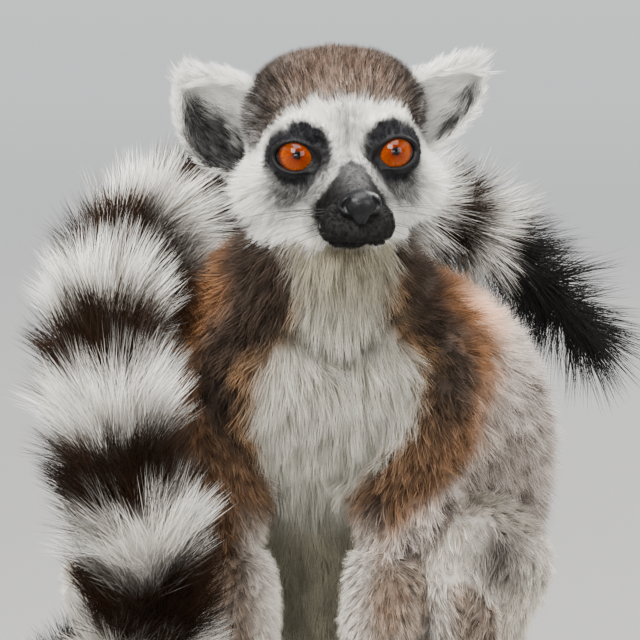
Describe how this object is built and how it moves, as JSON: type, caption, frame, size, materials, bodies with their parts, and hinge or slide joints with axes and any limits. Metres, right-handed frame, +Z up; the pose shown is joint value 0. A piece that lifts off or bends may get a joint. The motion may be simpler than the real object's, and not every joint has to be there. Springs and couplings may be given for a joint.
{
  "type": "ring-tailed lemur",
  "caption": "Seated life-size ring-tailed lemur, knees up and hands on the ground, its ringed tail wrapped round its right side and over its shoulders.",
  "frame": {"origin": "middle of the flat on which the rump rests, on the ground", "axes": "+Z up; the animal faces -Y; its left side is +X"},
  "size_m": [0.2361, 0.2708, 0.2591],
  "materials": {
    "grey_coat": "soft fur",
    "brown_coat": "soft fur",
    "white_coat": "soft fur",
    "tail_coat": "long soft fur, ringed black and white",
    "bare_skin": "matt grained skin",
    "amber_eye": "wet gloss"
  },
  "bodies": {
    "root": {"head": "white_coat", "neck": "white_coat", "trunk": "grey_coat", "nose": "bare_skin", "eye_left": "amber_eye", "ear_left": "white_coat", "upper_arm_left": "brown_coat", "forearm_left": "brown_coat", "hand_left": "bare_skin", "thigh_left": "grey_coat", "shank_left": "grey_coat", "foot_left": "bare_skin", "eye_right": "amber_eye", "ear_right": "white_coat", "upper_arm_right": "brown_coat", "forearm_right": "brown_coat", "hand_right": "bare_skin", "thigh_right": "grey_coat", "shank_right": "grey_coat", "foot_right": "bare_skin", "tail_1": "tail_coat", "tail_2": "tail_coat", "tail_3": "tail_coat", "tail_4": "tail_coat", "tail_5": "tail_coat", "tail_6": "tail_coat", "tail_7": "tail_coat", "tail_8": "tail_coat"}
  },
  "joints": []
}
